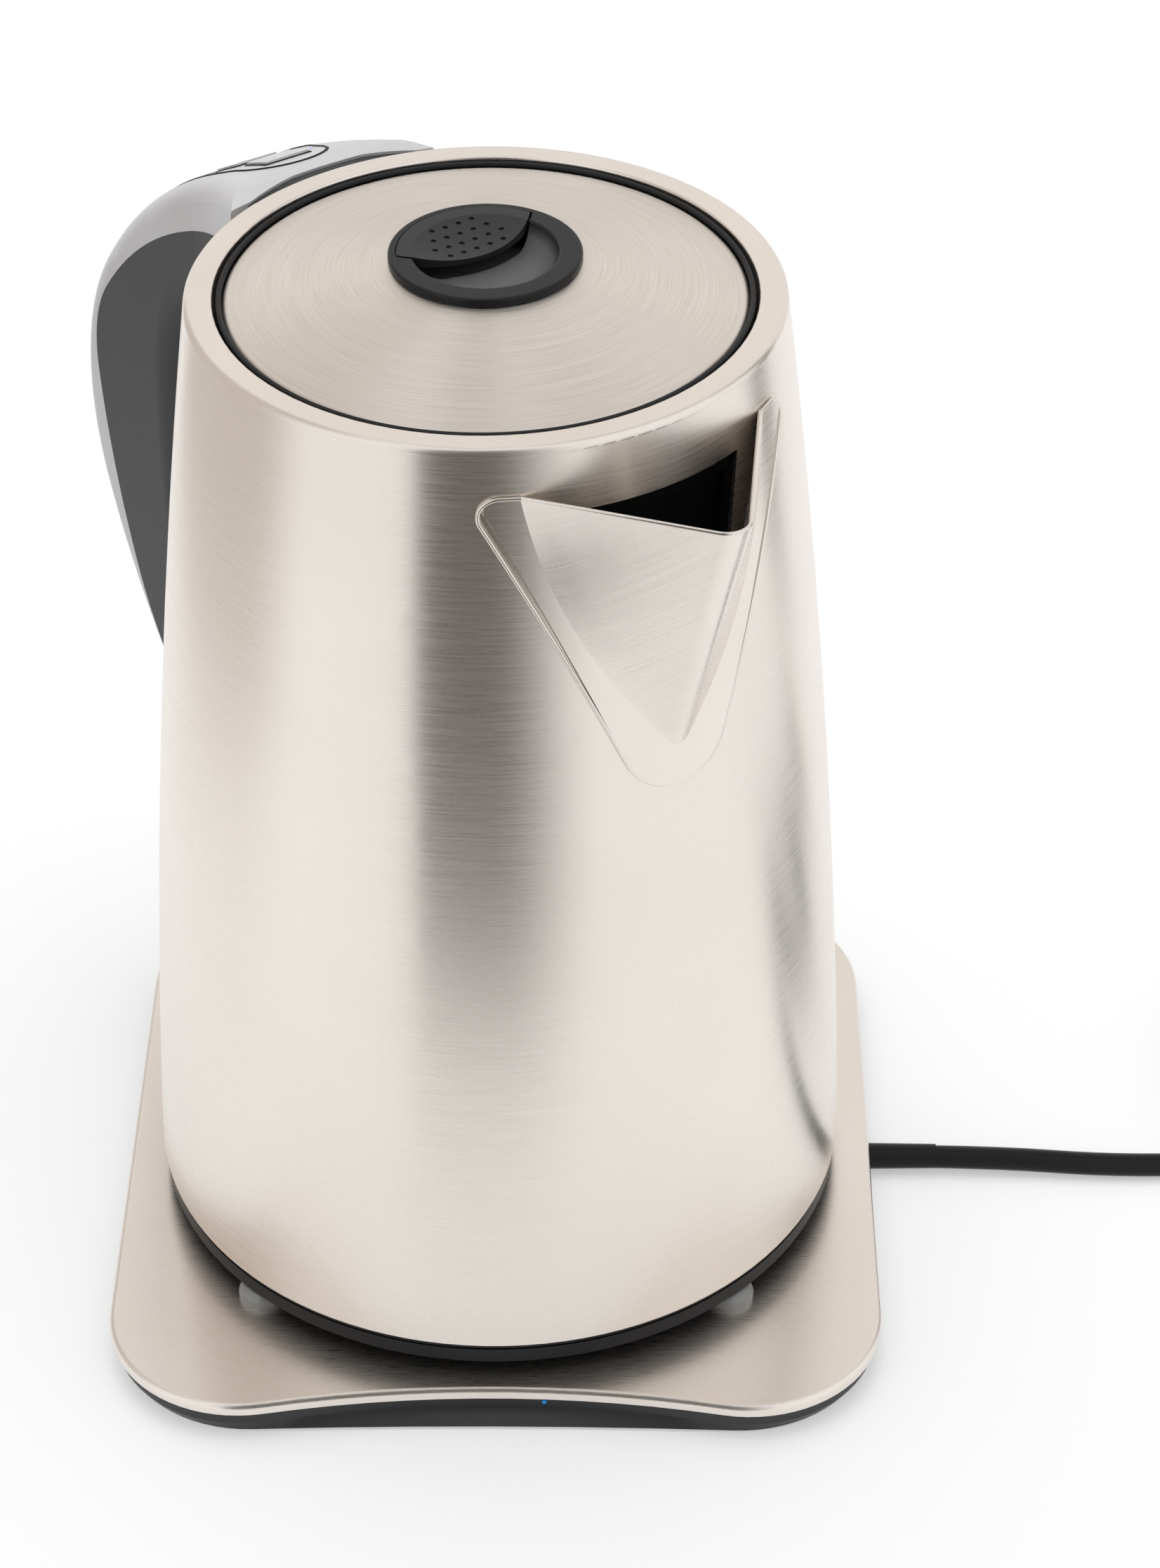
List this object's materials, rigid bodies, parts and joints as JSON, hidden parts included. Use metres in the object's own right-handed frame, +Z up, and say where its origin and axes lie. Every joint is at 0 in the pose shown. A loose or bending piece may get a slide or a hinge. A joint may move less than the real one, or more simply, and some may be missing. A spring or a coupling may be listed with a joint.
{
  "type": "electric kettle",
  "caption": "Steel jug kettle with a folded spout, hinged lid, loop handle with buttons and a flat power base with cord.",
  "frame": {"origin": "on the kettle's axis, at the table that the base stands on", "axes": "+Z up, spout to -Y, handle to +Y, +X to the kettle's side; the base with its cord is turned 34 degrees clockwise under it"},
  "size_m": [0.3641, 0.2625, 0.2359],
  "materials": {
    "brushed_steel": "champagne brushed stainless steel",
    "heater_steel": "plain stainless steel",
    "fixing_steel": "plated steel",
    "heater_aluminium": "raw aluminium",
    "contact_brass": "plated contact brass",
    "black_plastic": "moulded, fine grain",
    "charcoal_plastic": "matt soft feel",
    "satin_black": "satin black",
    "silver_plastic": "silver paint",
    "panel_grey": "satin grey",
    "board_green": "circuit board",
    "blue_lens": "blue light lens",
    "black_rubber": "semi-gloss black",
    "clear_silicone": "translucent silicone",
    "tie_fabric": "black hook and loop"
  },
  "bodies": {
    "base": {"base_plate": "brushed_steel", "base_housing": "black_plastic", "base_bottom_cover": "black_plastic", "base_screws": "fixing_steel", "foot_ring": "black_rubber", "glide_pads": "clear_silicone", "pilot_light": "blue_lens", "connector_base": "black_plastic", "connector_contacts": "contact_brass", "strain_relief": "black_rubber", "base_wires": "black_rubber", "cord_clamp": "black_plastic", "power_cord": "black_rubber", "cord_coil": "black_rubber", "cord_tie": "tie_fabric", "plug_body": "black_rubber", "plug_pins": "contact_brass"},
    "shutter": {"connector_shutter": "black_plastic"},
    "kettle": {"body_shell": "brushed_steel", "spout": "brushed_steel", "filter_frame": "black_plastic", "filter_mesh": "heater_steel", "heating_plate": "heater_steel", "temperature_sensor": "fixing_steel", "floor_seal": "black_rubber", "heat_diffuser": "heater_aluminium", "heating_element": "heater_aluminium", "thermal_cutouts": "contact_brass", "kettle_connector": "black_plastic", "connector_blades": "contact_brass", "foot_cover": "charcoal_plastic", "foot_screws": "fixing_steel", "mouth_collar": "black_plastic", "hinge_bracket": "fixing_steel", "hinge_pin": "fixing_steel", "handle_grip": "charcoal_plastic", "handle_shell": "silver_plastic", "handle_gasket": "black_rubber", "handle_brackets": "fixing_steel", "handle_screws": "fixing_steel", "control_panel": "panel_grey", "control_board": "board_green", "button_switches": "black_plastic", "indicator_lights": "blue_lens", "handle_wires": "black_rubber"},
    "lid": {"lid_cap": "brushed_steel", "lid_body": "black_plastic", "lid_seal": "black_rubber", "lid_screws": "fixing_steel", "lid_bottom": "heater_steel", "hinge_arm": "fixing_steel", "lid_knob": "satin_black", "tab_pin": "fixing_steel"},
    "tab": {"release_tab": "satin_black"},
    "latch": {"latch_bolt": "fixing_steel"},
    "start": {"start_button": "panel_grey"},
    "temperature": {"temperature_button": "panel_grey"},
    "hold": {"hold_button": "panel_grey"}
  },
  "joints": [
    {"name": "kettle_swivel", "type": "hinge", "parent": "base", "child": "shutter", "pos_m": [0, 0, 0], "axis": [0, 0, 1], "continuous": true},
    {"name": "kettle_lift", "type": "slide", "parent": "shutter", "child": "kettle", "axis": [0, 0, 1], "range_m": [0, 0.15]},
    {"name": "lid_hinge", "type": "hinge", "parent": "kettle", "child": "lid", "pos_m": [0, 0.0549, 0.2246], "axis": [-1, 0, 0], "range_deg": [0, 78]},
    {"name": "tab_press", "type": "hinge", "parent": "lid", "child": "tab", "pos_m": [0, 0.0132, 0.2318], "axis": [1, 0, 0], "range_deg": [0, 6.2]},
    {"name": "latch_slide", "type": "slide", "parent": "lid", "child": "latch", "axis": [0, 1, 0], "range_m": [0, 0.00096], "stiffness_N_per_m": 250},
    {"name": "start_press", "type": "slide", "parent": "kettle", "child": "start", "axis": [0, -0.4193, -0.9079], "range_m": [0, 0.0008], "stiffness_N_per_m": 1500},
    {"name": "temperature_press", "type": "slide", "parent": "kettle", "child": "temperature", "axis": [0, -0.5132, -0.8583], "range_m": [0, 0.0008], "stiffness_N_per_m": 1500},
    {"name": "hold_press", "type": "slide", "parent": "kettle", "child": "hold", "axis": [0, -0.6013, -0.799], "range_m": [0, 0.0008], "stiffness_N_per_m": 1500}
  ],
  "couplings": [
    {"joint": "tab_press", "follows": "latch_slide", "rad_per_m": 108.7}
  ]
}
